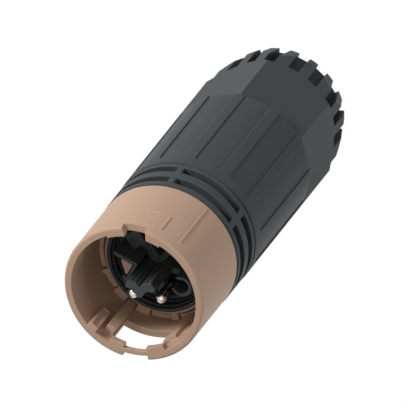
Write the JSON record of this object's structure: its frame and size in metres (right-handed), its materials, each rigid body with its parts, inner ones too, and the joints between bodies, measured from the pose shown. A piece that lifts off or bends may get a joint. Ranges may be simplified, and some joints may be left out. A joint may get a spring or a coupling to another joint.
{
  "type": "circular power connector",
  "caption": "Round cable-end power connector: open locking sleeve with pin contacts inside, ribbed housing, and a fluted cap nut that clamps the cable.",
  "frame": {"origin": "centre of the rear end of the cap nut, where the cable goes in and on which the part stands", "axes": "+Z along the axis towards the mating face; +Y through the coding notch of the locking sleeve"},
  "size_m": [0.0488, 0.0488, 0.1338],
  "materials": {
    "tan_plastic": "fine satin moulded plastic",
    "dark_plastic": "fine satin moulded plastic, glass filled",
    "carrier_plastic": "matte moulded plastic",
    "seal_rubber": "smooth elastomer",
    "contact_metal": "turned and silver plated",
    "steel": "zinc plated steel"
  },
  "bodies": {
    "nut": {"cap_nut": "dark_plastic"},
    "clamp_ring": {"thrust_ring": "dark_plastic"},
    "housing": {"housing": "dark_plastic", "sleeve_retainer": "steel", "collar_seal": "seal_rubber", "contact_carrier": "carrier_plastic", "pole_star": "carrier_plastic", "terminal_block": "carrier_plastic", "coding_plug": "tan_plastic", "pin_pe": "contact_metal", "pin_l1": "contact_metal", "pin_l2": "contact_metal", "pin_l3": "contact_metal", "terminal_screws": "steel", "rear_insert": "carrier_plastic", "carrier_seal": "seal_rubber", "nut_seal": "seal_rubber", "cable_seal": "seal_rubber", "seal_liner": "seal_rubber", "clamp_cage": "dark_plastic"},
    "sleeve": {"locking_sleeve": "tan_plastic", "bayonet_ring": "tan_plastic"}
  },
  "joints": [
    {"name": "nut_turn", "type": "hinge", "parent": "nut", "child": "clamp_ring", "pos_m": [0, 0, 0.0206], "axis": [0, 0, 1], "range_deg": [0, 1080]},
    {"name": "nut_travel", "type": "slide", "parent": "clamp_ring", "child": "housing", "axis": [0, 0, 1], "range_m": [0, 0.009]},
    {"name": "sleeve_turn", "type": "hinge", "parent": "housing", "child": "sleeve", "pos_m": [0, 0, 0.1059], "axis": [0, 0, 1], "range_deg": [0, 30]}
  ],
  "couplings": [
    {"joint": "nut_travel", "follows": "nut_turn", "m_per_rad": 0.000477}
  ]
}
